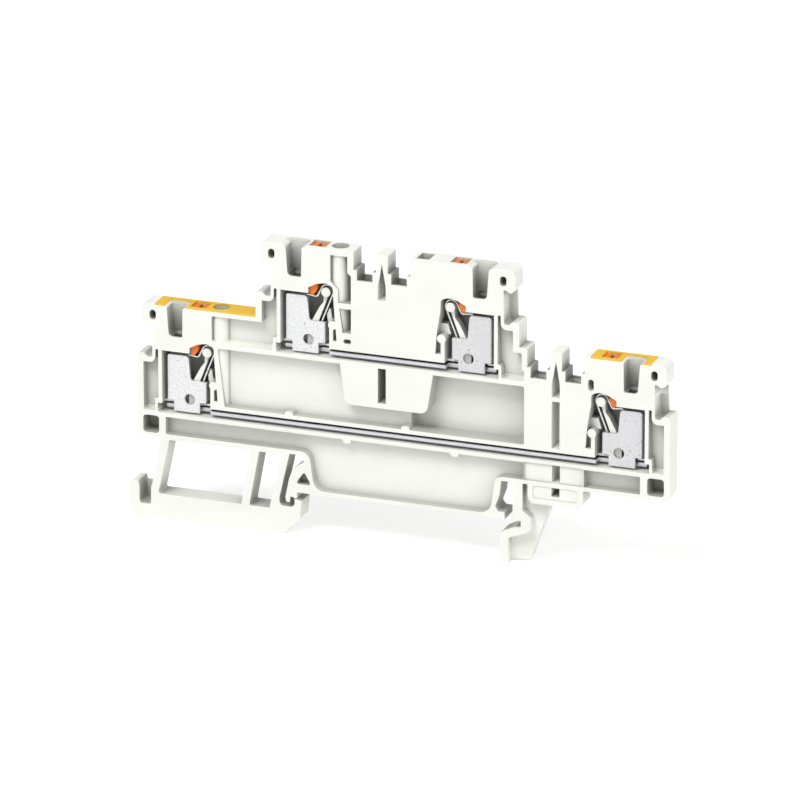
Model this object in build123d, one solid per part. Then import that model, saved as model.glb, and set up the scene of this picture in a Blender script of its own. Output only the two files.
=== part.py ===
from build123d import *
import math
import os
from collections import namedtuple

# Two level terminal block for a 35 mm top hat rail, in millimetres.
# X runs along the block, Y through its thickness, Z up. The open side faces -Y.
# The origin is on the rail seat, midway between the two rail grips, at mid thickness.

# Overall sizes
pitch = 3.5
back_wall = 0.5
front_skin = 0.4
rail_width = 35.3
level_pitch = 11.8
lower_mid_x = -1.16
lower_half_span = 33.72
upper_mid_x = -3.43
upper_half_span = 12.55
lower_hole_z = 12.62
head_rise = 14.45
body_bottom = 5.95
shallow = 1.5
rib = 0.62

# Heads: places are measured outwards and upwards from the hole in the clamp cage
wall_out = 8.12
nose_out = 7.5
step_out = 5.65
hook_rise = 6.4
scoop_depth = 0.52
nose_rise = 10.75
nose_slot_rise = 1.82
nose_slot_width = 1.02
nose_slot_height = 1.5
flange_reach = 1.1

# Wire funnel
funnel_outer = 3.37
funnel_inner = 0.82
funnel_taper = 0.32
funnel_flare = 0.75
funnel_lip = 0.5
funnel_foot = 9.43

# Clamp pocket
pocket_outer = 4.2
pocket_roof = 7.13
pocket_end = 4.92
pocket_inner = 4.1
pocket_lean = 0.5

# Peg that carries the clamp spring
peg_in = 2.8
peg_rise = 7.37
peg_radius = 0.72
peg_depth = 0.5
stem_depth = 1.05
post_rise = 2.5
post_knob = 0.68
lip_depth = 1.25
arch_gap = 0.44

# Clamp spring
strip = 0.25
spring_depth = 1.05
spring_width = 1.45
loop_gap = 0.12
leg_lean = 21.5
tongue_lean = 26.6
tongue_rise = 6.35
turn_out = 0.4
turn_rise = 6.55
tip_out = 2.95
tip_rise = 1.3
leg_foot = 0.95

# Clamp cage
sheet = 0.35
cage_depth = 0.6
cage_outer = 3.63
cage_rise = 6.45
cage_step = 2.65
cage_inner = 2.67
cage_foot = -0.68
skirt_outer = 2.53
skirt_inner = 1.55
skirt_foot = -2.35
cage_hole_radius = 0.84
cage_hole_rise = -0.3
cage_neck = 0.2
cage_wall_depth = 2.4
cage_rear_inner = 0.45

# Current bars
bar_thickness = 0.7
bar_foot = -2.28
bar_depth = 0.3
bar_end = 3.4
bar_round = 0.18
tenon_end = 4.03
tenon_depth = 1.55
tenon_width = 1.0
slot_foot = -2.7
slot_roof = -1.2
seat_gap = 0.05

# Pushers
pusher_hole_outer = 0.2
pusher_hole_width = 2.6
pusher_hole_drop = 4.85
pusher_gap = 0.1
pusher_sink = 0.3
pusher_travel = 1.2
neck_width = 1.35
driver_slot_width = 0.6
driver_slot_depth = 0.8

# Test taps
tap_in = 4.72
tap_radius = 1.3
tap_mouth = 0.85
tap_bore_radius = 1.05
tap_tube_radius = 1.45
tap_foot = 9.3
tap_window_depth = 2.2

# Jumper combs, measured from the middle finger and down from the head's top
upper_comb_x = -4.2
lower_comb_x = 22.95
comb_wall = 4.45
comb_shoulder = 3.92
finger_root = 1.46
finger_half = 0.93
comb_step = 2.9
comb_floor = 4.5
comb_slot_half = 0.63

# Marking strips
marking_thickness = 0.3
marking_gap = 0.02
marking_reach = 5.2

# Feet
foot_bottom = -6.85
foot_left = -44.4
grip_gap = 1.05

# Places worked out from the sizes
front = -pitch / 2
back = pitch / 2
floor_y = back - back_wall
deep = pitch - back_wall
grip_x = rail_width / 2

Head = namedtuple("Head", "name out x z slant")
upper_hole_z = lower_hole_z + level_pitch
lower_left = Head("lower_left", -1, lower_mid_x - lower_half_span, lower_hole_z, 0.3)
upper_left = Head("upper_left", -1, upper_mid_x - upper_half_span, upper_hole_z, 0.3)
upper_right = Head("upper_right", 1, upper_mid_x + upper_half_span, upper_hole_z, 0.6)
lower_right = Head("lower_right", 1, lower_mid_x + lower_half_span, lower_hole_z, 0.6)
heads = [lower_left, upper_left, upper_right, lower_right]
lower_top = lower_hole_z + head_rise
lower_tap_foot = upper_hole_z + slot_foot + 0.17
upper_top = upper_hole_z + head_rise


def spot(point):
    """A point of the front view as a point in space."""
    return (point[0], 0, point[1])


def outline(corners):
    """Closed edges through (x, z, radius) corners, each rounded tangent to its two sides."""
    count = len(corners)
    rounds = []
    for i, (x, z, radius) in enumerate(corners):
        before = corners[i - 1]
        after = corners[(i + 1) % count]
        to_before = (before[0] - x, before[1] - z)
        to_after = (after[0] - x, after[1] - z)
        span_before = math.hypot(*to_before)
        span_after = math.hypot(*to_after)
        ub = (to_before[0] / span_before, to_before[1] / span_before)
        ua = (to_after[0] / span_after, to_after[1] / span_after)
        half = math.acos(max(-1.0, min(1.0, ub[0] * ua[0] + ub[1] * ua[1]))) / 2
        if radius <= 0 or half > math.radians(88):
            rounds.append(((x, z), None, (x, z)))
            continue
        run = min(radius / math.tan(half), 0.48 * span_before, 0.48 * span_after)
        radius = run * math.tan(half)
        bisector = (ub[0] + ua[0], ub[1] + ua[1])
        length = math.hypot(*bisector)
        reach = radius / math.sin(half) - radius
        middle = (x + bisector[0] / length * reach, z + bisector[1] / length * reach)
        start = (x + ub[0] * run, z + ub[1] * run)
        end = (x + ua[0] * run, z + ua[1] * run)
        rounds.append((start, middle, end))
    edges = []
    for i, (start, middle, end) in enumerate(rounds):
        last = rounds[i - 1][2]
        if math.dist(last, start) > 1e-5:
            edges.append(Line(spot(last), spot(start)))
        if middle:
            edges.append(ThreePointArc(spot(start), spot(middle), spot(end)))
    return edges


def slab(corners, y_from, y_to):
    """The outline of the corners as a solid between two depths."""
    closed = [(c[0], c[1], c[2] if len(c) > 2 else 0.0) for c in corners]
    face = make_face(outline(closed))
    return extrude(Pos(0, y_from, 0) * face, amount=y_to - y_from, dir=(0, 1, 0))


def box(x_from, x_to, z_from, z_to, y_from, y_to, radius=0.0):
    """An upright block, with its corners rounded in the front view."""
    ends = [(x_from, z_from), (x_to, z_from), (x_to, z_to), (x_from, z_to)]
    return slab([(x, z, radius) for x, z in ends], y_from, y_to)


def pocket(corners, depth):
    """The space of a pocket that is open to the front."""
    return slab(corners, front - 1, front + depth)


def pocket_box(x_from, x_to, z_from, z_to, depth, radius=0.0):
    return box(x_from, x_to, z_from, z_to, front - 1, front + depth, radius)


def place(head, corners):
    """Corners given outwards and upwards from a head's hole, as corners of the front view."""
    return [(head.x + head.out * c[0], head.z + c[1], c[2] if len(c) > 2 else 0.0) for c in corners]


def head_box(head, out_from, out_to, z_from, z_to, y_from, y_to):
    corners = [(out_from, z_from), (out_to, z_from), (out_to, z_to), (out_from, z_to)]
    return slab(place(head, corners), y_from, y_to)


def cylinder_y(x, z, radius, y_from, y_to):
    """A round bar along Y."""
    plane = Plane((x, y_from, z), x_dir=(1, 0, 0), z_dir=(0, 1, 0))
    return extrude(plane * Circle(radius), amount=y_to - y_from)


def cylinder_z(x, y, radius, z_from, z_to):
    """A round bar along Z."""
    return extrude(Plane((x, y, z_from)) * Circle(radius), amount=z_to - z_from)


def head_edge(head):
    """The stepped end of a head, from its outer wall up to the top of its nose."""
    scoop = hook_rise - scoop_depth
    corners = [
        (wall_out, hook_rise, 0.35),
        (step_out + 1.35, hook_rise, 0.3),
        (step_out + 0.85, scoop, 0.4),
        (step_out + 0.07, scoop, 0.5),
        (step_out, nose_rise + 0.45),
        (step_out + 0.35, nose_rise + 0.45),
        (step_out + 1.1, nose_rise, 0.4),
        (nose_out, nose_rise + 0.55, 0.5),
        (nose_out, head_rise, 1.3),
    ]
    return place(head, corners)


def comb_edge(middle, top):
    """The two jumper notches and the finger between them, from left to right."""
    step = top - comb_step
    sole = top - comb_floor
    half = [
        (comb_wall, top, 0.3),
        (comb_wall, step),
        (comb_shoulder, step),
        (comb_shoulder, sole),
        (finger_root, sole),
        (finger_root, step),
        (finger_half, step),
        (finger_half, top, 0.4),
    ]
    left = [(middle - corner[0], *corner[1:]) for corner in half]
    right = [(middle + corner[0], *corner[1:]) for corner in reversed(half)]
    return left + right


def body_plate():
    """The body of the housing above the rail seat, before its pockets are cut."""
    corners = [(lower_left.x - wall_out, body_bottom, 0.8)]
    corners += head_edge(lower_left)
    corners += [(upper_left.x - wall_out, lower_top)]
    corners += head_edge(upper_left)
    corners += comb_edge(upper_comb_x, upper_top)
    corners += list(reversed(head_edge(upper_right)))
    corners += [(upper_right.x + wall_out, lower_top)]
    corners += comb_edge(lower_comb_x, lower_top)
    corners += list(reversed(head_edge(lower_right)))
    corners += [(lower_right.x + wall_out, body_bottom, 0.8)]
    return slab(corners, front, back)


def seat_block():
    """The rigid part that sits on the rail, with the finger at the left grip."""
    grip = -grip_x
    right = grip_x - 2.57
    corners = [
        (grip + 1.1, body_bottom + 0.4),
        (grip + 1.1, 4.9, 0.3),
        (grip - 0.7, 3.55, 0.4),
        (grip - 1.25, 2.0, 0.8),
        (grip - 1.85, -1.0, 0.3),
        (grip - 1.75, -1.68, 0.25),
        (grip - 1.2, -1.68),
        (grip - 1.05, -0.75),
        (grip, 0.08 - grip_gap),
        (grip, 0),
        (right, 0),
        (right, 1.1),
        (right - 1.0, 1.1, 0.4),
        (right - 1.5, 1.8, 0.4),
        (right - 0.85, 3.6, 0.6),
        (right - 0.5, body_bottom + 0.4),
    ]
    return slab(corners, front, back)


def foot_windows():
    """The two leaning windows between the legs of the left foot."""
    sole = -3.0
    roof = body_bottom - 0.25
    leg = foot_left + 3.65
    wide = [
        (leg + 2.75, roof),
        (leg + 0.9, sole, 0.3),
        (leg + 14.2, sole),
        (leg + 15.75, roof),
    ]
    narrow = [
        (leg + 17.1, roof),
        (leg + 15.45, sole, 0.25),
        (leg + 18.7, sole),
        (leg + 20.65, roof),
    ]
    return [wide, narrow]


def left_foot():
    """The springy left foot: three leaning legs, a lever end and the hook under the rail."""
    grip = -grip_x
    leg = foot_left + 3.65
    thumb = foot_left + 1.53
    corners = [
        (leg + 1.4, body_bottom + 0.4),
        (leg, -1.4),
        (leg - 0.25, -2.1),
        (thumb, -2.1),
        (thumb - 0.18, -1.35, 0.3),
        (foot_left + 0.3, -1.35, 0.4),
        (foot_left, -2.2, 0.5),
        (foot_left, foot_bottom, 1.6),
        (grip - 2.25, foot_bottom, 1.6),
        (grip + 0.42, -4.2, 1.2),
        (grip + 0.72, -grip_gap - 0.25),
        (grip - 0.1, -grip_gap - 0.06),
        (grip - 0.4, -grip_gap - 0.06),
        (grip - 0.4, -2.4, 0.95),
        (grip - 2.8, -2.4, 0.95),
        (grip - 2.8, -1.0, 1.0),
        (grip - 1.1, body_bottom + 0.4),
    ]
    foot = slab(corners, front, back)
    foot -= pocket_box(thumb, thumb + 1.87, -4.85, 0, deep, 0.5)
    for window in foot_windows():
        foot -= slab(window, front - 1, back + 1)
    return foot


def right_foot():
    """The right foot: an arm beside a slot, an elbow round the rail and a lever with a thin web."""
    lever = grip_x - 3.3
    corners = [
        (grip_x - 1.15, body_bottom + 0.4),
        (grip_x - 1.15, 0.05),
        (grip_x - 0.05, 0.05),
        (grip_x - 0.05, 0.13 - grip_gap),
        (grip_x - 1.05, -grip_gap, 0.3),
        (grip_x - 2.55, -1.75),
        (lever, -2.2, 0.3),
        (lever, foot_bottom, 0.4),
        (lever + 1.3, foot_bottom + 0.2),
        (lever + 1.3, -2.85, 0.3),
        (grip_x + 1.5, -1.5, 0.9),
        (grip_x + 1.5, 0.75, 0.6),
        (grip_x + 0.2, 1.75, 0.4),
        (grip_x + 0.2, body_bottom + 0.4),
    ]
    foot = slab(corners, front, back)
    web = [
        (grip_x - 0.3, body_bottom + 0.4),
        (grip_x - 0.3, 1.7),
        (grip_x + 0.7, 0.8, 0.3),
        (grip_x + 0.7, -1.2, 0.3),
        (lever + 0.6, -2.6),
        (lever + 0.6, foot_bottom + 0.1),
        (grip_x + 0.9, foot_bottom + 0.5, 0.7),
        (grip_x + 4.2, 3.0),
        (grip_x + 4.2, body_bottom + 0.4),
    ]
    return foot + slab(web, floor_y, back)


def label_plate():
    """The bare plate under the body at the right, with a shallow sunk panel."""
    left = grip_x + 1.0
    right = grip_x + 9.6
    plate = [(left, body_bottom + 0.4), (left, 3.05, 1.2), (right, 3.05, 1.2), (right, body_bottom + 0.4)]
    panel = pocket_box(left + 0.8, right - 0.8, 3.9, body_bottom - 0.1, 0.12, 0.45)
    return slab(plate, front, back) - panel


def round_back(head, out_from, out_to, radius):
    """An upright shape whose two back corners are rounded, seen from above."""
    middle = head.x + head.out * (out_from + out_to) / 2
    reach = 2 * pitch
    plan = RectangleRounded(out_to - out_from, reach, radius)
    return extrude(Plane((middle, floor_y - reach / 2, head.z)) * plan, amount=head_rise + 1)


def funnel(head):
    """The wire entry: an open front funnel and the closed shaft that leads on into the cage."""
    top = head_rise + 0.5
    outer = funnel_outer + funnel_flare
    inner = funnel_inner - funnel_flare
    lip = head_rise - funnel_lip
    corners = [
        (outer + 0.5, top),
        (outer, head_rise),
        (funnel_outer, lip, 0.5),
        (funnel_outer - funnel_taper, funnel_foot, 0.7),
        (funnel_inner + 0.08, funnel_foot, 0.3),
        (funnel_inner, lip, 0.4),
        (inner, head_rise),
        (inner - 0.4, top),
    ]
    whole = pocket(place(head, corners), deep)
    throat = whole & round_back(head, funnel_inner, funnel_outer, 1.1)
    flared = head_box(head, inner, outer, lip, top, front - 1, floor_y)
    mouth = whole & flared & round_back(head, inner, outer, 1.4)
    shaft_from = funnel_inner + 0.1
    shaft_to = funnel_outer - funnel_taper
    shaft_foot = pocket_roof - 0.2
    shaft = head_box(head, shaft_from, shaft_to, shaft_foot, funnel_foot + 0.3, front + front_skin, floor_y)
    return throat + mouth + shaft


def clamp_pocket(head):
    """The deep pocket for one clamp, with the arch over its spring and the end of the bar slot."""
    arch = peg_radius + loop_gap + strip + arch_gap
    corners = [
        (pocket_end, slot_foot),
        (pocket_end, slot_roof),
        (pocket_outer, slot_roof),
        (pocket_outer, pocket_roof),
        (-pusher_hole_outer, pocket_roof),
        (-pusher_hole_outer, pocket_roof + 0.87),
        (-peg_in + arch - 0.25, peg_rise + arch - 0.2, 0.6),
        (-peg_in - 0.1, peg_rise + arch + 0.08, 1.3),
        (-pocket_inner, peg_rise + arch - 0.35, 0.6),
        (-pocket_inner - 0.05, peg_rise - 0.6, 0.5),
        (-pocket_inner - head.slant, 3.5),
        (-pocket_inner - head.slant - pocket_lean, slot_foot),
    ]
    return pocket(place(head, corners), deep)


def clamp_posts(head):
    """What stands in the clamp pocket: the peg and its stem, a wedge, the leg stop and the post."""
    reach = floor_y + 0.2
    stem = [
        (-peg_in - 0.3, peg_rise - 0.2),
        (-peg_in + 0.2, peg_rise - 1.75, 0.3),
        (-0.85, leg_foot + 0.08),
        (-0.85, leg_foot - 0.13),
        (-1.85, leg_foot - 0.13),
        (-1.85, slot_roof),
        (0.3, slot_roof),
        (0.3, 1.2, 0.3),
        (-0.45, cage_step),
        (-1.6, 4.8, 0.5),
        (-2.25, 5.65, 0.4),
        (-peg_in + 0.55, peg_rise - 0.2),
    ]
    far = -pocket_inner - 0.5
    if head.out < 0:
        wedge = [(-2.75, 3.0), (-2.7, 3.7), (-3.08, 4.7), (-3.3, 4.4), (-3.45, 3.3), (-3.8, 2.4), (-2.9, 2.4)]
    else:
        wedge = [(-2.95, 2.9), (-3.4, 4.5), (far, 4.5), (far - 0.3, 2.9)]
    post = [(-3.5, slot_roof), (-3.5, post_rise), (-4.1, post_rise), (-4.1, slot_roof)]
    shelf = [(-3.8, slot_roof), (-3.8, 0.1), (far - 0.7, 0.1), (far - 0.7, slot_roof)]
    lip = slot_roof + 0.3
    parts = cylinder_y(head.x - head.out * peg_in, head.z + peg_rise, peg_radius, front + peg_depth, reach)
    parts += slab(place(head, stem), front + stem_depth, reach)
    parts += slab(place(head, wedge), front + stem_depth + 0.25, reach)
    parts += slab(place(head, post), front, reach)
    parts += slab(place(head, shelf), front, reach)
    parts += cylinder_y(head.x - head.out * 4.0, head.z + post_rise, post_knob, front, reach)
    parts += head_box(head, far - 0.7, -4.0, slot_roof, post_rise, front + 1.2, reach)
    parts += head_box(head, -3.6, -1.8, slot_roof, lip, front + lip_depth, reach)
    parts += head_box(head, 2.75, pocket_outer + 0.1, slot_roof, lip, front + lip_depth, reach)
    return parts


def pusher_hole(head):
    """The square hole for a pusher, narrower where its neck passes the spring."""
    outer = -pusher_hole_outer
    far = outer - pusher_hole_width
    neck = outer - neck_width
    ledge = head_rise - pusher_hole_drop
    wide = head_box(head, outer, far, ledge, head_rise + 1, front + front_skin, floor_y)
    narrow = head_box(head, outer, neck, pocket_roof, ledge + 0.2, front + front_skin, floor_y)
    return wide + narrow


def side_pocket(head):
    """The shallow pocket between a head's outer wall and its clamp pocket."""
    sole = slot_foot + 0.17
    outer = wall_out - 0.97
    inner = pocket_end + 0.42
    slot = [
        (outer, 5.08),
        (step_out - 0.38, 5.08, 1.0),
        (step_out - 0.42, 7.2),
        (pocket_outer + 0.58, 7.2),
        (pocket_outer + 0.58, -0.35),
        (inner, -0.55),
    ]
    if head is upper_left:
        far = head.x - lower_left.x - 3.78
        roof = lower_top - 1.0 - head.z
        foot = [(inner + 0.2, sole), (far, sole, 0.3), (far, roof, 0.3), (outer, roof)]
    elif head is upper_right:
        roof = lower_top - 0.85 - head.z
        foot = [
            (inner, sole),
            (outer + 1.75, sole),
            (outer + 1.75, sole + 1.65),
            (outer + 1.38, sole + 1.65),
            (outer + 1.38, roof, 0.3),
            (outer, roof),
        ]
    else:
        foot = [(inner, sole), (outer, sole)]
    return pocket(place(head, slot + foot), shallow)


def nose_flange(head):
    """The thin web that runs on behind the gap between a nose and the hook below it."""
    low = hook_rise - scoop_depth - 0.1
    corners = [
        (step_out - 0.1, low),
        (step_out + flange_reach + 0.15, low),
        (step_out + flange_reach, nose_rise + 0.1),
        (step_out - 0.1, nose_rise + 0.1),
    ]
    return slab(place(head, corners), floor_y, back)


def nose_slot(head):
    x = head.x + head.out * (step_out - 0.05)
    z = head.z + nose_rise + nose_slot_rise
    half_width = nose_slot_width / 2
    half_height = nose_slot_height / 2
    return pocket_box(x - half_width, x + half_width, z - half_height, z + half_height, deep, half_width * 0.95)


def bar_slot(left, right):
    """The slot for a current bar, from one clamp pocket to the other."""
    return pocket_box(left.x, right.x, left.z + slot_foot, left.z + slot_roof, deep, 0.0)


def jumper_shafts(middle, top, roof):
    """The two closed shafts that lead a jumper's legs down to the bar, and the finger's slot."""
    sole = top - comb_floor + 0.5
    left = box(middle - comb_shoulder, middle - finger_root, roof, sole, front + front_skin, floor_y)
    right = box(middle + finger_root, middle + comb_shoulder, roof, sole, front + front_skin, floor_y)
    tip = top - 1.45
    taper = top - 5.05
    foot = top - 7.15
    slot = [
        (middle, tip),
        (middle + comb_slot_half, taper, 0.6),
        (middle + comb_slot_half, foot),
        (middle - comb_slot_half, foot),
        (middle - comb_slot_half, taper, 0.6),
    ]
    return left + right + pocket(slot, deep)


def tap_tube(head):
    """The round tube of a test tap, which stands in the pockets and windows in front of it."""
    return cylinder_z(head.x - head.out * tap_in, 0, tap_tube_radius, head.z + slot_roof, head.z + head_rise)


def tap_bore(head, foot):
    """The hole of a test tap: a wide mouth in the top of a head and a narrower bore below."""
    x = head.x - head.out * tap_in
    top = head.z + head_rise
    mouth = cylinder_z(x, 0, tap_radius, top - tap_mouth, top + 1)
    return mouth + cylinder_z(x, 0, tap_bore_radius, foot, top)


def tap_windows(head):
    """The openings in front of the upper test tap."""
    right = -6.93
    tall = [
        (-3.68, head_rise - 1.0),
        (-6.38, head_rise - 1.0),
        (-6.38, 10.9, 0.3),
        (right, 10.5, 0.3),
        (right, 6.15),
        (-4.93, 6.15),
        (-4.93, 8.2, 0.7),
        (-3.68, 9.3, 0.4),
    ]
    low = [(-5.08, 5.3), (right, 5.3), (right, 1.55), (-5.6, 1.55)]
    small = [(-5.75, 0.6, 0.3), (right, 0.6, 0.3), (right, -0.1, 0.3), (-5.75, -0.1, 0.3)]
    return [pocket(place(head, corners), tap_window_depth) for corners in (tall, low, small)]


def middle_pocket():
    """The pocket between the two bars, round a plate that hangs down in its middle."""
    sole = lower_hole_z + slot_roof + rib
    roof = upper_hole_z + slot_foot - rib
    right = lower_comb_x - 4.9
    edge = lower_left.x + pocket_inner + rib
    bend = upper_comb_x + 4.1
    plate_foot = 14.9
    corners = [
        (edge, roof, 0.3),
        (upper_comb_x - 6.6, roof),
        (upper_comb_x - 5.8, plate_foot, 1.2),
        (bend + 2.9, plate_foot, 1.2),
        (bend + 3.9, roof),
        (right, roof, 0.3),
        (right, sole, 0.3),
        (edge + 1.05, sole, 0.3),
    ]
    behind = box(bend, right + 1, sole - 1, roof + 1, front - 1, floor_y)
    return pocket(corners, shallow) + (pocket(corners, deep) & behind)


def trough():
    """The shallow trough over the rail."""
    roof = lower_hole_z + slot_foot - rib
    shelf = body_bottom + rib
    foot = rib
    corners = [
        (-grip_x - 20.9, roof),
        (-grip_x - 20.9, shelf, 0.3),
        (-grip_x + 1.9, shelf, 1.5),
        (-grip_x + 2.75, foot, 1.9),
        (grip_x - 4.8, foot, 1.9),
        (grip_x - 4.1, shelf, 1.4),
        (lower_comb_x - 4.9, shelf),
        (lower_comb_x - 4.9, roof),
    ]
    return pocket(corners, shallow)


def nub(x, z, direction):
    """A small round bump on the edge of a pocket."""
    corners = [
        (x - 0.75, z - 0.2 * direction),
        (x - 0.55, z + 0.55 * direction, 0.4),
        (x + 0.55, z + 0.55 * direction, 0.4),
        (x + 0.75, z - 0.2 * direction),
    ]
    return slab(corners, front, front + shallow + 0.1)


def marking_ends(head):
    """How far a marking strip runs inwards and outwards."""
    inner_x = upper_left.x - wall_out if head is lower_left else lower_comb_x + comb_wall + 0.9
    return (inner_x - head.x) * head.out, marking_reach


def marking_bed(head):
    """The sunk bed for a marking strip in the top of a lower head."""
    inner, outer = marking_ends(head)
    bottom = head_rise - marking_thickness
    return head_box(head, inner, outer, bottom, head_rise + 1, front - 1, back + 1)


def make_housing():
    body = body_plate() + seat_block() + left_foot() + right_foot() + label_plate()
    for head in (upper_right, lower_right):
        body += nose_flange(head)
    body -= bar_slot(lower_left, lower_right)
    body -= bar_slot(upper_left, upper_right)
    body -= middle_pocket() - tap_tube(lower_left)
    body -= trough()
    for head in heads:
        body -= side_pocket(head) - tap_tube(lower_left)
        body -= clamp_pocket(head)
        body -= funnel(head)
        body -= pusher_hole(head)
        body -= nose_slot(head)
    body -= jumper_shafts(upper_comb_x, upper_top, upper_hole_z + slot_roof - 0.1)
    body -= jumper_shafts(lower_comb_x, lower_top, lower_hole_z + slot_roof - 0.1)
    body -= tap_bore(lower_left, lower_tap_foot)
    body -= tap_bore(upper_left, upper_left.z + tap_foot)
    for window in tap_windows(upper_left):
        body -= window - tap_tube(upper_left)

    # Small pockets in line with the trough and with the jumper combs
    shelf = body_bottom + rib
    roof = lower_hole_z + slot_foot - rib
    body -= pocket_box(lower_comb_x + 4.4, lower_right.x + 3.53, shelf, roof, shallow)
    body -= pocket_box(lower_left.x - 7.27, lower_left.x - 4.72, shelf, roof, deep, 0.5)
    body -= pocket_box(lower_right.x + 4.63, lower_right.x + 7.23, shelf, roof, deep, 0.5)
    body -= pocket_box(lower_comb_x - 4.85, lower_comb_x + 4.25, shelf, roof + 0.1, 0.3, 0.0)
    slots = [
        (upper_comb_x, 15.7, upper_hole_z + slot_foot - rib),
        (lower_comb_x, lower_hole_z + slot_roof + rib, lower_top - 7.75),
        (lower_comb_x, shelf, roof),
        (lower_comb_x, 4.45, body_bottom - 0.15),
    ]
    for x, bottom, top in slots:
        body -= pocket_box(x - comb_slot_half, x + comb_slot_half, bottom, top, deep)
    body -= pocket_box(lower_comb_x + 5.0, lower_comb_x + 5.88, lower_top - 5.4, lower_top - 3.62, deep, 0.4)
    triangle = [(1.15 - grip_x, 3.45, 0.3), (-0.25 - grip_x, 1.35, 0.3), (2.25 - grip_x, 1.35, 0.3)]
    body -= pocket(triangle, shallow)
    hole = upper_comb_x + 5.3
    body -= box(hole, hole + 2.0, upper_top - 3.0, upper_top + 1, front + 0.3, floor_y - 0.1)

    # What stands in the pockets again
    for x in (upper_comb_x - 14.7, upper_comb_x + 3.7):
        body += nub(x, lower_hole_z + slot_roof + rib, 1)
    for x in (upper_comb_x - 5.55, upper_comb_x + 11.4):
        body += nub(x, roof, -1)
    for head in heads:
        body += clamp_posts(head)
    for head in (lower_left, lower_right):
        body -= marking_bed(head)
    return body


def make_bar(left, right):
    """A flat current bar: wide between the clamps, narrow where it runs through the cages."""
    foot = left.z + bar_foot
    top = foot + bar_thickness
    wide_left = left.x + bar_end
    wide_right = right.x - bar_end
    tenon_from = front + tenon_depth
    wide = box(wide_left, wide_right, foot, top, front + bar_depth, floor_y - seat_gap)
    tenon = box(left.x - tenon_end, right.x + tenon_end, foot, top, tenon_from, tenon_from + tenon_width)
    bar = wide + tenon
    bar = fillet(bar.edges().filter_by(Axis.X).group_by(Axis.Y)[0], bar_round)
    ends = bar.faces().filter_by(Axis.X).sort_by(Axis.X)
    return chamfer([*ends[0].edges().filter_by(Axis.Y), *ends[-1].edges().filter_by(Axis.Y)], 0.15)


def make_cage(head):
    """A clamp cage of folded sheet: stepped front plate, two side walls and rear plate."""
    front_from = front + cage_depth
    rear_to = floor_y - seat_gap
    low = cage_foot + 0.15
    high = cage_rise - 0.3
    plate = [
        (cage_outer, low),
        (cage_outer, high),
        (cage_outer - 0.3, cage_rise, 0.2),
        (cage_neck, cage_rise, 0.6),
        (cage_neck - 0.33, cage_step + 0.02, 0.5),
        (-cage_inner + 0.2, cage_step),
        (-cage_inner, cage_step - 0.2),
        (-cage_inner, low),
        (-cage_inner + 0.2, cage_foot),
        (-skirt_inner, cage_foot),
        (-skirt_inner, skirt_foot),
        (skirt_outer, skirt_foot),
        (skirt_outer, cage_foot),
        (cage_outer - 0.2, cage_foot),
    ]
    rear = [
        (cage_outer, low),
        (cage_outer, high),
        (cage_rear_inner + 0.25, high, 0.3),
        (cage_rear_inner, skirt_foot),
        (skirt_outer, skirt_foot),
        (skirt_outer, low),
    ]
    cage = slab(place(head, plate), front_from, front_from + sheet)
    cage -= cylinder_y(head.x, head.z + cage_hole_rise, cage_hole_radius, front - 1, back)
    cage += head_box(head, cage_outer - sheet, cage_outer, low, high, front_from, rear_to)
    cage += slab(place(head, rear), rear_to - sheet, rear_to)
    wall_to = front + cage_wall_depth
    cage += head_box(head, -cage_inner, sheet - cage_inner, low, cage_step - 0.2, front_from, wall_to)
    folds = cage.edges().filter_by(Axis.Z).group_by(Axis.X)
    outer, inner = (folds[0], folds[-1]) if head.out < 0 else (folds[-1], folds[0])
    return fillet([*outer, inner.sort_by(Axis.Y)[0]], sheet * 0.8)


def spring_path(head):
    """The middle line of a clamp spring: seated leg, loop round the peg, tongue and clamping leg."""
    radius = peg_radius + loop_gap + strip / 2
    lean = math.radians(leg_lean)
    fall = math.radians(tongue_lean)
    over = math.radians(100)
    leg_start = (-peg_in - radius * math.cos(lean), peg_rise - radius * math.sin(lean))
    leg_drop = leg_start[1] - leg_foot
    leg_end = (leg_start[0] + leg_drop * math.tan(lean), leg_foot)
    loop_top = (-peg_in + radius * math.cos(over), peg_rise + radius * math.sin(over))
    tongue_start = (-peg_in + radius * math.cos(fall), peg_rise + radius * math.sin(fall))
    tongue_drop = tongue_start[1] - tongue_rise
    knee = (tongue_start[0] + tongue_drop * math.tan(fall), tongue_rise)
    points = [leg_end, leg_start, loop_top, tongue_start, knee, (turn_out, turn_rise), (tip_out, tip_rise)]
    return [spot(p) for p in place(head, points)]


def make_spring(head):
    """A clamp spring bent from one strip."""
    leg_end, leg_start, loop_top, tongue_start, knee, turn, tip = spring_path(head)
    leg = Line(leg_end, leg_start)
    loop = ThreePointArc(leg_start, loop_top, tongue_start)
    arm = FilletPolyline(tongue_start, knee, turn, tip, radius=0.35)
    path = Wire([*leg.edges(), *loop.edges(), *arm.edges()])
    across = Plane(leg_end, x_dir=(0, 1, 0), z_dir=leg % 0)
    spring = sweep(across * Rectangle(spring_width, strip), path=path)
    return Pos(0, front + spring_depth + spring_width / 2, 0) * spring


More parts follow.
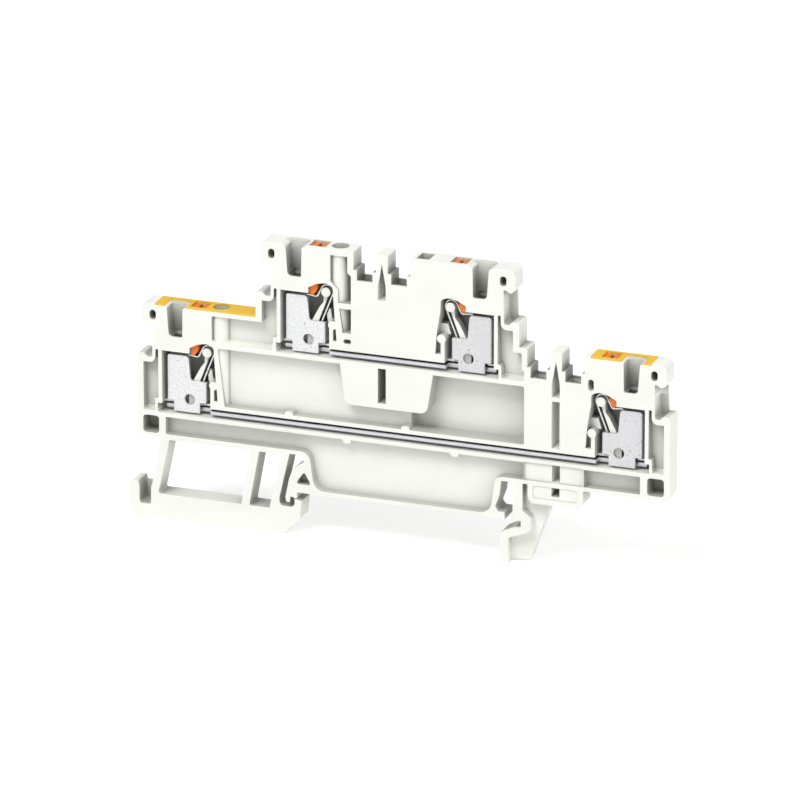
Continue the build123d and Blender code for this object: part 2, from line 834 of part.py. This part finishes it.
def make_pusher(head):
    """A pusher: broad block with a driver slot in its top, and the neck that bends the spring."""
    outer = -pusher_hole_outer - pusher_gap
    inner = -pusher_hole_outer - pusher_hole_width + pusher_gap
    neck = -pusher_hole_outer - neck_width + pusher_gap
    top = head_rise - pusher_sink
    ledge = head_rise - pusher_hole_drop + pusher_travel + pusher_gap
    sole = tongue_rise + strip / 2 + 0.3
    middle = (outer + inner) / 2
    half = driver_slot_width / 2
    corners = [
        (outer, top),
        (outer, sole + 0.1),
        (outer - 0.5, sole),
        (neck + 0.35, sole + 0.35),
        (neck, sole + 1.0, 0.2),
        (neck, ledge),
        (inner, ledge + 0.35),
        (inner, top),
        (middle - half, top),
        (middle - half, top - driver_slot_depth),
        (middle + half, top - driver_slot_depth),
        (middle + half, top),
    ]
    return slab(place(head, corners), front + front_skin + pusher_gap, floor_y - pusher_gap)


def make_marking(head):
    """A marking strip in the top of a lower head, cut out round its holes."""
    inner, outer = marking_ends(head)
    bottom = head_rise - marking_thickness + marking_gap
    marking = head_box(head, inner + marking_gap, outer - marking_gap, bottom, head_rise, front, back)
    marking -= funnel(head)
    marking -= pusher_hole(head)
    if head is lower_left:
        marking -= tap_bore(head, lower_tap_foot)
    return marking


def save(shape, name):
    count = len(shape.solids())
    if count != 1:
        print(name, "has", count, "solids")
    export_step(shape, f"parts/{name}.step")


os.makedirs("parts", exist_ok=True)
save(make_housing(), "housing")
save(make_bar(lower_left, lower_right), "lower_current_bar")
save(make_bar(upper_left, upper_right), "upper_current_bar")
for head in heads:
    save(make_cage(head), head.name + "_cage")
    save(make_spring(head), head.name + "_spring")
    save(make_pusher(head), head.name + "_pusher")
save(make_marking(lower_left), "left_marking_strip")
save(make_marking(lower_right), "right_marking_strip")
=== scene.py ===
import bpy
import math
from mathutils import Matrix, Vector


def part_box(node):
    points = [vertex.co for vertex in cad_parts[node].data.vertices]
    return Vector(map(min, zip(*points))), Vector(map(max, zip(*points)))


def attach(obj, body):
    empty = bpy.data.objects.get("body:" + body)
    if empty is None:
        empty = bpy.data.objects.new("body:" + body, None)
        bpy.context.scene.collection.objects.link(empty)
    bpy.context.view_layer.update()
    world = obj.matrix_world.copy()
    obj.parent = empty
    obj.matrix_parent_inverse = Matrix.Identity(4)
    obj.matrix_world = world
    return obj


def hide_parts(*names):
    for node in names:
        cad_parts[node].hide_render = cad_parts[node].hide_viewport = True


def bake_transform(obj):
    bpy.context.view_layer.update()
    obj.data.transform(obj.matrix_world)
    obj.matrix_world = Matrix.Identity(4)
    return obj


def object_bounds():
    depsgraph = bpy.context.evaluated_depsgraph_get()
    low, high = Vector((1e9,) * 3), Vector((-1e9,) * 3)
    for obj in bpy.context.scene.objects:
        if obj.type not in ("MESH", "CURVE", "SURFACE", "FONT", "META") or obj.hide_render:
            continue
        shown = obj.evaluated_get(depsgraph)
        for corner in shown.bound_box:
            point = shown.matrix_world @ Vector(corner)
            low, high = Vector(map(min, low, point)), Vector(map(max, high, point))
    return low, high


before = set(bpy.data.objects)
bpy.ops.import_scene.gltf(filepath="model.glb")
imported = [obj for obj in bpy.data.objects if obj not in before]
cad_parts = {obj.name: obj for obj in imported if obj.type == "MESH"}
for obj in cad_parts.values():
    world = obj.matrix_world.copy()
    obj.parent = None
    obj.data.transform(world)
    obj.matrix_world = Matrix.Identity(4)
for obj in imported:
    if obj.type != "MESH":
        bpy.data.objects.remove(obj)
cad_low, cad_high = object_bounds()
MM = 0.001
HEADS = ("lower_left", "upper_left", "upper_right", "lower_right")

# The lengths below are in millimetres where their comment doesn't say metres.

# Where a cage's edges are from its head's middle line and level
CAGE_INNER = 2.67
CAGE_RISE = 6.45

# Where painted shade marks places that little light reaches, from a head's middle line and level
NEST_RISE = 3.1
PLATE_RISE = 0.6
THROAT_OUT = 2.1
THROAT_RISE = 11.9
FUNNEL_FOOT = 9.0
FUNNEL_TOP = 15.2

# How far under a head's level the middle of the gap under its bar is, where painted light lessens the
# painted shade
BAR_GAP_DROP = 2.5

# Each jumper comb: its middle along the block, the foot and top of its slot with painted light, and its own
# top
COMBS = ((-4.2, 26.0, 40.0, 38.87), (22.95, 5.0, 28.0, 27.07))
# Half the width of a comb's slot with painted light, and how far under a comb's top the painted shade of
# its notch lies
COMB_SLOT_HALF = 0.66
NOTCH_DROP = 3.3

# The middle of the slanting edge beside the left grip's slot, along the block and upwards, where painted
# light lessens the painted shade
SLANT = (-17.2, 4.2)

# How strongly the painted shade on the sides of pockets, the painted light on the lit ledges and the
# painted shade in the nests change the housing's tone
WALL_SHADE = 0.85
LEDGE_LIGHT = 0.85
NEST_SHADE = 0.7

# How many grains of the spark-eroded finish go to a metre, and a flow cloud's share of the tone
SPARK_GRAIN = 9000.0
CLOUD_TONE = 0.965

# A spring's line, outwards and upwards from its head's middle line and level, and leans in degrees
PEG = (-2.8, 7.37)
LOOP_RADIUS = 0.965
LOOP_STEPS = 22
LEG_LEAN = 21.5
LEG_FOOT = 0.95
TONGUE_LEAN = 26.6
TONGUE_RISE = 6.35
TURN = (0.4, 6.55)
TIP = (2.95, 1.3)

# Where a spring starts to bend, outwards and upwards, and which way it goes on
BEND_START = (-1.95, 7.8)
BEND_WAY = (1.0, 0.25)

# The web of the right foot, which is thicker than its plain plate
GRIP = 17.65
WEB_FRONT = -0.25
WEB_BACK = 1.25
WEB_TOP = 6.0
ROUND_STEPS = 8

# The floor: half its side in metres, and how far under the block it lies
FLOOR_HALF = 3.0
FLOOR_GAP = 0.02

# What both lamps point at, in metres
LAMP_AIM = (0, 0, 0.015)


class Socket:
    """A number in a shader: Python's operators on it add Math nodes."""

    def __init__(self, tree, socket):
        self.tree = tree
        self.socket = socket

    def math(self, operation, *values):
        return self.tree.add("ShaderNodeMath", {"operation": operation}, dict(enumerate(values)))

    def __add__(self, other):
        return self.math("ADD", self, other)

    __radd__ = __add__

    def __sub__(self, other):
        return self.math("SUBTRACT", self, other)

    def __rsub__(self, other):
        return self.math("SUBTRACT", other, self)

    def __mul__(self, other):
        return self.math("MULTIPLY", self, other)

    __rmul__ = __mul__

    def above(self, low, high):
        """0 where the number is under low, 1 where it is over high, and smooth between."""
        inputs = {"Value": self, "From Min": low, "From Max": high}
        return self.tree.add("ShaderNodeMapRange", {"interpolation_type": "SMOOTHSTEP"}, inputs)

    def below(self, low, high):
        """1 where the number is under low, 0 where it is over high, and smooth between."""
        return 1 - self.above(low, high)

    def within(self, middle, reach, soft):
        """1 up to a reach on each side of the middle, and 0 from a little further on."""
        away = self.math("ABSOLUTE", self - middle)
        return away.below(reach, reach + soft)


class Tree:
    """A node tree whose nodes all come from one method."""

    def __init__(self, node_tree):
        self.node_tree = node_tree
        node_tree.nodes.clear()

    def add(self, kind, settings=None, inputs=None, output=0):
        """Adds a node: its settings first, then the values or links of its sockets."""
        node = self.node_tree.nodes.new(kind)
        for name, value in (settings or {}).items():
            setattr(node, name, value)
        for name, value in (inputs or {}).items():
            if isinstance(value, Socket):
                self.node_tree.links.new(value.socket, node.inputs[name])
            else:
                node.inputs[name].default_value = value
        return Socket(self, node.outputs[output]) if len(node.outputs) else node

    def mix(self, factor, low, high):
        """A colour between two colours."""
        low = low if isinstance(low, Socket) else (*low, 1)
        high = high if isinstance(high, Socket) else (*high, 1)
        return self.add("ShaderNodeMix", {"data_type": "RGBA"}, {0: factor, 6: low, 7: high}, output=2)

    def noise(self, where, scale, detail=2.0, roughness=0.5):
        inputs = {"Vector": where, "Scale": scale, "Detail": detail, "Roughness": roughness}
        return self.add("ShaderNodeTexNoise", None, inputs)

    def stretched(self, where, scale):
        """The coordinates scaled by a different amount along each axis."""
        return self.add("ShaderNodeMapping", None, {"Vector": where, "Scale": scale})

    def along(self, where, axis):
        """One coordinate of a point or a direction as a number."""
        return self.add("ShaderNodeSeparateXYZ", None, {0: where}, output=axis)


def finish(name, make):
    """A material whose tree is filled by make(tree, where), which gives the surface's shader."""
    material = bpy.data.materials.new(name)
    material.use_nodes = True
    tree = Tree(material.node_tree)
    where = tree.add("ShaderNodeTexCoord", output="Object")
    shader = make(tree, where)
    tree.add("ShaderNodeOutputMaterial", None, {"Surface": shader})
    return material


def surface(tree, colour, roughness, normal, metallic=0.0):
    inputs = {"Base Color": colour, "Roughness": roughness, "Normal": normal, "Metallic": metallic}
    return tree.add("ShaderNodeBsdfPrincipled", None, inputs)


def bumped(tree, height, distance):
    inputs = {"Height": height, "Distance": distance, "Strength": 1.0}
    return tree.add("ShaderNodeBump", None, inputs)


def cavity(tree, reach):
    """1 on open faces and less down in narrow pockets of the same piece."""
    settings = {"samples": 12, "only_local": True}
    return tree.add("ShaderNodeAmbientOcclusion", settings, {"Distance": reach}, output="AO")


def head_place(name):
    """A head's middle line and level, and which way its head faces."""
    low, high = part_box(name + "_cage")
    out = -1 if name.endswith("left") else 1
    x = high[0] - CAGE_INNER * MM if out < 0 else low[0] + CAGE_INNER * MM
    return x, high[2] - CAGE_RISE * MM, out


def patch(x, z, middle, level, wide, tall, soft=(0.2, 0.2)):
    """1 in an upright rectangle on the block's side, and 0 beyond its soft sides and ends.

    Its middle and level are in metres. Half its width, half its height and how soft its sides
    and its ends are come in millimetres.
    """
    across = x.within(middle, wide * MM, soft[0] * MM)
    upwards = z.within(level, tall * MM, soft[1] * MM)
    return across * upwards


def nest_shade(tree, where):
    """Painted shade where little light comes: nest floors, what a cage's plate covers, throats and notches.
    """
    x, y, z = (tree.along(where, axis) for axis in "XYZ")
    inside = y.below(1.3 * MM, 1.35 * MM)

    def deeper(start, full, strength=1.0):
        """Nothing up to the start of a range of depths and the full strength from its end on."""
        return y.above(start * MM, full * MM) * inside * strength

    on_floor = deeper(0.3, 1.1)
    behind_plate = deeper(-0.95, -0.85, strength=0.6)
    in_throat = deeper(-1.74, -1.4, strength=0.5)
    in_notch = deeper(-1.72, -1.5, strength=0.5)
    total = 0.0
    for name in HEADS:
        middle, level, out = head_place(name)
        floor = patch(x, z, middle, level + NEST_RISE * MM, wide=4.6, tall=5.7)
        plate = patch(x, z, middle, level + PLATE_RISE * MM, wide=2.4, tall=1.6)
        throat_middle = middle + out * THROAT_OUT * MM
        throat_level = level + THROAT_RISE * MM
        throat = patch(x, z, throat_middle, throat_level, wide=1.8, tall=2.5, soft=(0.2, 0.1))
        sunk = z.below(level + FUNNEL_FOOT * MM, level + FUNNEL_TOP * MM)
        total = total + floor * on_floor + plate * behind_plate + throat * sunk * in_throat
    for middle, _, _, top in COMBS:
        level = (top - NOTCH_DROP) * MM
        notch = patch(x, z, middle * MM, level, wide=3.9, tall=1.25, soft=(0.1, 0.3))
        total = total + notch * in_notch
    return total.math("MINIMUM", total, 1.0)


def painted_ledge_light(tree, where):
    """Painted light where light does come in: less painted shade in the gaps under the bars, the combs'
    slots and the slanting edge.
    """
    x, z = (tree.along(where, axis) for axis in "XZ")
    total = 0.0
    for name in ("lower_left", "upper_left"):
        level = head_place(name)[1]
        total = total + z.within(level - BAR_GAP_DROP * MM, 0.3 * MM, 0.02 * MM)
    for middle, foot, end, _ in COMBS:
        level = (foot + end) / 2 * MM
        tall = (end - foot) / 2
        total = total + patch(x, z, middle * MM, level, wide=COMB_SLOT_HALF, tall=tall, soft=(0.02, 0.3))
    slant = patch(x, z, SLANT[0] * MM, SLANT[1] * MM, wide=1.2, tall=0.95, soft=(0.1, 0.05))
    total = total + slant
    return total.math("MINIMUM", total, 1.0)


def painted_wall_shade(tree):
    """Painted shade on the sides and ledges of pockets, which look greyer than the faces that look
    forwards.
    """
    facing = tree.add("ShaderNodeTexCoord", output="Normal")
    forwards = tree.along(facing, "Y")
    sideways = forwards.math("ABSOLUTE", forwards).below(0.3, 0.7)
    return sideways * cavity(tree, 10 * MM).below(0.45, 0.98)


def moulded(pale, shade, flow, nest_painted_shade=None):
    """Moulded plastic: spark-eroded grain, faint flow clouds and painted shade that darkens its pockets.

    The flow is how fine the clouds are. With a painted shade tone for the nests, the housing's own
    painted light and shade are added: painted shade on the sides of its pockets, painted light on its lit
    ledges and painted shade where little light comes.
    """

    def make(tree, where):
        grain = tree.noise(where, SPARK_GRAIN, detail=3.0, roughness=0.6)
        clouds = tree.noise(tree.stretched(where, (1, 1, 1.6)), flow)
        tone = tree.mix(clouds.above(0.3, 0.75), pale, [part * CLOUD_TONE for part in pale])
        # Painted shade: the tone darkens where the piece's own occlusion finds a narrow pocket.
        painted_shade_amount = cavity(tree, 6 * MM).below(0.0, 0.9)
        if nest_painted_shade:
            # Painted shade on the sides and ledges of pockets.
            painted_shade_amount = painted_shade_amount.math("MAXIMUM", painted_shade_amount, painted_wall_shade(tree) * WALL_SHADE)
            # Painted light: less painted shade where light comes in.
            painted_shade_amount = painted_shade_amount * (1 - painted_ledge_light(tree, where) * LEDGE_LIGHT)
        tone = tree.mix(painted_shade_amount, tone, shade)
        # Painted shade in the nest tone where little light comes.
        if nest_painted_shade:
            tone = tree.mix(nest_shade(tree, where) * NEST_SHADE, tone, nest_painted_shade)
        rough = 0.42 + 0.14 * grain + 0.05 * clouds
        return surface(tree, tone, rough, bumped(tree, grain + clouds * 0.4, 0.012 * MM))

    return make


def tinned_sheet(tree, where):
    """Tinned sheet: mottled crystals, fine rolling lines, a few dark specks, and a painted dimmer
    reflection at the right.
    """
    bright, dull, painted_dim_reflection = (0.81, 0.81, 0.815), (0.74, 0.74, 0.75), (0.66, 0.66, 0.67)
    clouded, speck = (0.48, 0.48, 0.49), (0.25, 0.25, 0.26)
    cells = {"Vector": where, "Scale": 5200.0, "Smoothness": 0.6}
    crystals = tree.add("ShaderNodeTexVoronoi", {"feature": "SMOOTH_F1"}, cells)
    rolling = tree.noise(tree.stretched(where, (14000, 14000, 1500)), 1.0)
    mottle = tree.noise(where, 3400.0, detail=3.0, roughness=0.7).above(0.42, 0.66)
    specks = tree.noise(where, 1900.0, detail=1.0).above(0.68, 0.74)
    # Painted dimmer reflection: the tone gets greyer towards the right.
    right = tree.along(where, "X").above(-8 * MM, 8 * MM)
    tone = tree.mix(crystals.above(0.1, 0.9), bright, dull)
    tone = tree.mix(right, tone, painted_dim_reflection)
    tone = tree.mix(mottle * 0.4, tone, clouded)
    tone = tree.mix(specks * 0.7, tone, speck)
    rough = 0.38 + 0.16 * crystals + 0.1 * rolling
    height = crystals * 0.6 + rolling * 0.3 - specks * 0.8
    return surface(tree, tone, rough, bumped(tree, height, 0.008 * MM), metallic=0.75)


def spring_strip(tree, where):
    """Cold rolled spring strip: fine lines across its depth and a smooth bright edge."""
    bright, dull, clouded = (0.74, 0.74, 0.73), (0.56, 0.56, 0.56), (0.62, 0.60, 0.57)
    lines = tree.noise(tree.stretched(where, (3000, 26000, 3000)), 1.0, detail=3.0)
    clouds = tree.noise(where, 1800.0)
    tone = tree.mix(lines.above(0.3, 0.7), bright, dull)
    tone = tree.mix(clouds.above(0.5, 0.8) * 0.4, tone, clouded)
    return surface(tree, tone, 0.25 + 0.2 * lines, bumped(tree, lines, 0.004 * MM), metallic=0.9)


def tinned_bar(tree, where):
    """Drawn and tinned bar: long drawing lines along X, painted shade at its foot and along its top."""
    bright, dull, clouded = (0.66, 0.66, 0.68), (0.50, 0.50, 0.52), (0.70, 0.68, 0.64)
    painted_foot_shade, painted_top_shade = (0.44, 0.44, 0.45), (0.16, 0.16, 0.16)
    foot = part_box("lower_current_bar")[0][2]
    level_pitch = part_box("upper_current_bar")[0][2] - foot
    height = tree.along(where, "Z") - foot
    rise = height.math("MODULO", height, level_pitch)
    drawn = tree.noise(tree.stretched(where, (260, 9000, 16000)), 1.0, detail=4.0, roughness=0.65)
    clouds = tree.noise(tree.stretched(where, (400, 1500, 1500)), 1.0)
    tone = tree.mix(drawn.above(0.35, 0.7), bright, dull)
    tone = tree.mix(clouds.above(0.55, 0.8) * 0.35, tone, clouded)
    # Painted shade: darker along the bar's foot and along its top.
    tone = tree.mix(rise.below(0.02 * MM, 0.36 * MM), tone, painted_foot_shade)
    tone = tree.mix(rise.above(0.54 * MM, 0.68 * MM), tone, painted_top_shade)
    return surface(tree, tone, 0.26 + 0.22 * drawn, bumped(tree, drawn, 0.006 * MM), metallic=0.85)


# Each shade tone is painted shade for the piece's own pockets, and the housing's nest tone is painted shade
# where little light comes.
housing_tones = {"pale": (0.86, 0.87, 0.81), "shade": (0.37, 0.37, 0.34), "nest_painted_shade": (0.06, 0.06, 0.055)}
marking_tones = {"pale": (0.82, 0.51, 0.03), "shade": (0.55, 0.28, 0.01)}
pusher_tones = {"pale": (0.80, 0.195, 0.022), "shade": (0.60, 0.13, 0.014)}
housing_plastic = finish("housing_plastic", moulded(flow=160.0, **housing_tones))
spring_metal = finish("spring_metal", spring_strip)

# The finish of every node whose name ends so
finishes = {
    "housing": housing_plastic,
    "marking_strip": finish("marking_plastic", moulded(flow=300.0, **marking_tones)),
    "pusher": finish("pusher_plastic", moulded(flow=500.0, **pusher_tones)),
    "cage": finish("cage_metal", tinned_sheet),
    "spring": spring_metal,
    "current_bar": finish("bar_metal", tinned_bar),
}
for name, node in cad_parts.items():
    for ending, material in finishes.items():
        if name.endswith(ending):
            for place in node.material_slots:
                place.material = material


def add_object(name, data):
    """A new object in the scene."""
    added = bpy.data.objects.new(name, data)
    bpy.context.scene.collection.objects.link(added)
    return added


def strip_tree():
    """Geometry nodes: a strip with rounded edges swept along a bent line."""
    group = bpy.data.node_groups.new("bent_strip", "GeometryNodeTree")
    face = group.interface
    face.new_socket("Geometry", in_out="OUTPUT", socket_type="NodeSocketGeometry")
    face.new_socket("Geometry", in_out="INPUT", socket_type="NodeSocketGeometry")
    sizes = {"Strip width": 1.45, "Strip thickness": 0.25, "Edge radius": 0.06, "Bend radius": 0.4}
    for name, size in sizes.items():
        socket = face.new_socket(name, in_out="INPUT", socket_type="NodeSocketFloat")
        socket.default_value = size * MM
    face.new_socket("Finish", in_out="INPUT", socket_type="NodeSocketMaterial")
    tree = Tree(group)
    entry = group.nodes.new("NodeGroupInput")
    given = {s.name: Socket(tree, s) for s in entry.outputs if s.name}
    line = tree.add("GeometryNodeMeshToCurve", None, {"Mesh": given["Geometry"]})
    bend = tree.add(
        "GeometryNodeFilletCurve",
        {"mode": "POLY"},
        {"Curve": line, "Count": 5, "Radius": given["Bend radius"], "Limit Radius": True},
    )
    turned = tree.add("GeometryNodeSetCurveNormal", {"mode": "FREE"}, {"Curve": bend, "Normal": (0, 1, 0)})
    profile = tree.add(
        "GeometryNodeCurvePrimitiveQuadrilateral",
        None,
        {"Width": given["Strip width"], "Height": given["Strip thickness"]},
    )
    soft = tree.add(
        "GeometryNodeFilletCurve",
        {"mode": "POLY"},
        {"Curve": profile, "Count": 3, "Radius": given["Edge radius"], "Limit Radius": True},
    )
    swept = tree.add(
        "GeometryNodeCurveToMesh", None, {"Curve": turned, "Profile Curve": soft, "Fill Caps": True}
    )
    real = tree.add("GeometryNodeRealizeInstances", None, {"Geometry": swept})
    done = tree.add("GeometryNodeSetMaterial", None, {"Geometry": real, "Material": given["Finish"]})
    tree.add("NodeGroupOutput", None, {"Geometry": done})
    return group


bent_strip = strip_tree()


def spring_line():
    """A spring's line from the foot of its seated leg round the loop and down to its tip."""
    start = math.radians(180 + LEG_LEAN)
    end = math.radians(TONGUE_LEAN)
    loop = []
    for i in range(LOOP_STEPS + 1):
        turn = start + (end - start) * i / LOOP_STEPS
        loop.append((PEG[0] + LOOP_RADIUS * math.cos(turn), PEG[1] + LOOP_RADIUS * math.sin(turn)))
    drop = loop[0][1] - LEG_FOOT
    foot = (loop[0][0] + drop * math.tan(math.radians(LEG_LEAN)), LEG_FOOT)
    loop_end_out, loop_end_up = loop[-1]
    knee = (loop_end_out + (loop_end_up - TONGUE_RISE) * math.tan(end), TONGUE_RISE)
    return [foot] + loop + [knee, TURN, TIP]


def make_spring(name):
    """A head's spring, swept along its line."""
    x, z, out = head_place(name)
    low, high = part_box(name + "_spring")
    middle = (low[1] + high[1]) / 2
    points = [(x + out * a * MM, middle, z + up * MM) for a, up in spring_line()]
    mesh = bpy.data.meshes.new(name + "_line")
    mesh.from_pydata(points, [(i, i + 1) for i in range(len(points) - 1)], [])
    draft = add_object(name + "_line", mesh)
    modifier = draft.modifiers.new("strip", "NODES")
    modifier.node_group = bent_strip
    for item in bent_strip.interface.items_tree:
        if item.name == "Finish":
            modifier[item.identifier] = spring_metal
    shown = draft.evaluated_get(bpy.context.evaluated_depsgraph_get())
    made = bpy.data.meshes.new_from_object(shown)
    made.name = name + "_clamp_spring"
    bpy.data.objects.remove(draft)
    piece = add_object(name + "_clamp_spring", made)
    made.shade_smooth()
    made.set_sharp_from_angle(angle=math.radians(40))
    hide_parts(name + "_spring")
    reach = Vector((out * BEND_WAY[0], 0, BEND_WAY[1])).normalized()
    start = Vector((x + out * BEND_START[0] * MM, middle, z + BEND_START[1] * MM))
    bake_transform(piece)


for head in HEADS:
    make_spring(head)


def rounded(corners):
    """Corners of (x, z, radius), with each rounded one as points along a smooth curve."""
    points = []
    for i, (x, z, radius) in enumerate(corners):
        corner = Vector((x, z))
        before = (Vector(corners[i - 1][:2]) - corner).normalized()
        after = (Vector(corners[(i + 1) % len(corners)][:2]) - corner).normalized()
        steps = ROUND_STEPS if radius else 0
        run = radius / math.tan(before.angle(after) / 2)
        for step in range(steps + 1):
            part = step / steps if steps else 0
            start = corner + before * run * (1 - part)
            end = corner + after * run * part
            points.append(start.lerp(end, part))
    return points


def make_foot_web():
    """The web of the right foot as thick as the photograph shows it."""
    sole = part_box("housing")[0][2] / MM
    ring = rounded([
        (GRIP - 0.3, WEB_TOP, 0),
        (GRIP - 0.3, 1.6, 0),
        (GRIP + 0.6, 0.8, 0),
        (GRIP + 0.6, -1.2, 0),
        (GRIP - 2.7, -2.6, 0),
        (GRIP - 2.7, sole + 0.12, 0),
        (GRIP + 0.89, sole + 0.5, 0.7),
        (GRIP + 4.19, 3.0, 0),
        (GRIP + 4.19, WEB_TOP, 0),
    ])
    count = len(ring)
    front = [(p.x * MM, WEB_FRONT * MM, p.y * MM) for p in ring]
    back = [(p.x * MM, WEB_BACK * MM, p.y * MM) for p in ring]
    faces = [list(range(count)), list(range(2 * count - 1, count - 1, -1))]
    faces += [(i, i + count, (i + 1) % count + count, (i + 1) % count) for i in range(count)]
    mesh = bpy.data.meshes.new("right_foot_web")
    mesh.from_pydata(front + back, [], faces)
    mesh.materials.append(housing_plastic)
    piece = add_object("right_foot_web", mesh)
    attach(piece, "block")


make_foot_web()


def make_floor():
    """A plain pale floor that shows white to the camera and keeps the shadow."""
    half = FLOOR_HALF
    level = cad_low[2] - FLOOR_GAP * MM
    corners = [(-half, -half, level), (half, -half, level), (half, half, level), (-half, half, level)]
    mesh = bpy.data.meshes.new("studio_floor")
    mesh.from_pydata(corners, [], [(0, 1, 2, 3)])
    floor = add_object("studio_floor", mesh)

    def make(tree, where):
        seen = tree.add("ShaderNodeLightPath", output="Is Camera Ray")
        glossy = tree.add("ShaderNodeLightPath", output="Is Glossy Ray")
        paper = tree.add("ShaderNodeBsdfDiffuse", None, {"Color": (0.86, 0.86, 0.86, 1)})
        glow = tree.add("ShaderNodeEmission", None, {"Strength": seen.math("MAXIMUM", seen, glossy) * 0.42})
        return tree.add("ShaderNodeAddShader", None, {0: paper, 1: glow})

    mesh.materials.append(finish("floor_paper", make))


def make_world():
    """White to the camera, and for the lighting a softer sky that brightens upwards."""
    world = bpy.data.worlds.new("studio")
    bpy.context.scene.world = world
    world.use_nodes = True
    tree = Tree(world.node_tree)
    seen = tree.add("ShaderNodeLightPath", output="Is Camera Ray")
    height = tree.along(tree.add("ShaderNodeTexCoord", output="Generated"), "Z")
    tone = tree.mix(height.above(-0.2, 0.8), (0.68, 0.68, 0.68), (1.0, 1.0, 1.0))
    plain = tree.mix(seen, tone, (1.0, 1.0, 1.0))
    strength = seen * 0.45 + 0.55
    light = tree.add("ShaderNodeBackground", None, {"Color": plain, "Strength": strength})
    tree.add("ShaderNodeOutputWorld", None, {"Surface": light})


def lamp(name, place, size, power):
    data = bpy.data.lights.new(name, "AREA")
    data.shape = "DISK"
    data.size = size
    data.energy = power
    light = add_object(name, data)
    light.location = place
    light.rotation_euler = (Vector(LAMP_AIM) - Vector(place)).to_track_quat("-Z", "Y").to_euler()


def make_camera():
    """The camera fitted to the object's straight edges in the photo."""
    azimuth = math.radians(20.358)
    elevation = math.radians(19.717)
    distance = 1376.1 * MM
    target = Vector((-1.345, -1.75, 16.601)) * MM
    away = Vector((
        math.sin(azimuth) * math.cos(elevation),
        -math.cos(azimuth) * math.cos(elevation),
        math.sin(elevation),
    ))
    data = bpy.data.cameras.new("camera")
    data.lens = 420.5
    data.sensor_width = 36
    data.clip_start = 0.01
    camera = add_object("camera", data)
    camera.location = target + away * distance
    camera.rotation_euler = (-away).to_track_quat("-Z", "Y").to_euler()
    bpy.context.scene.camera = camera


make_floor()
make_world()
lamp("key", (-0.12, -0.36, 0.58), size=0.35, power=2.9)
lamp("fill", (0.6, -0.2, 0.26), size=0.5, power=1.5)
make_camera()
bpy.context.scene.view_settings.view_transform = "Standard"
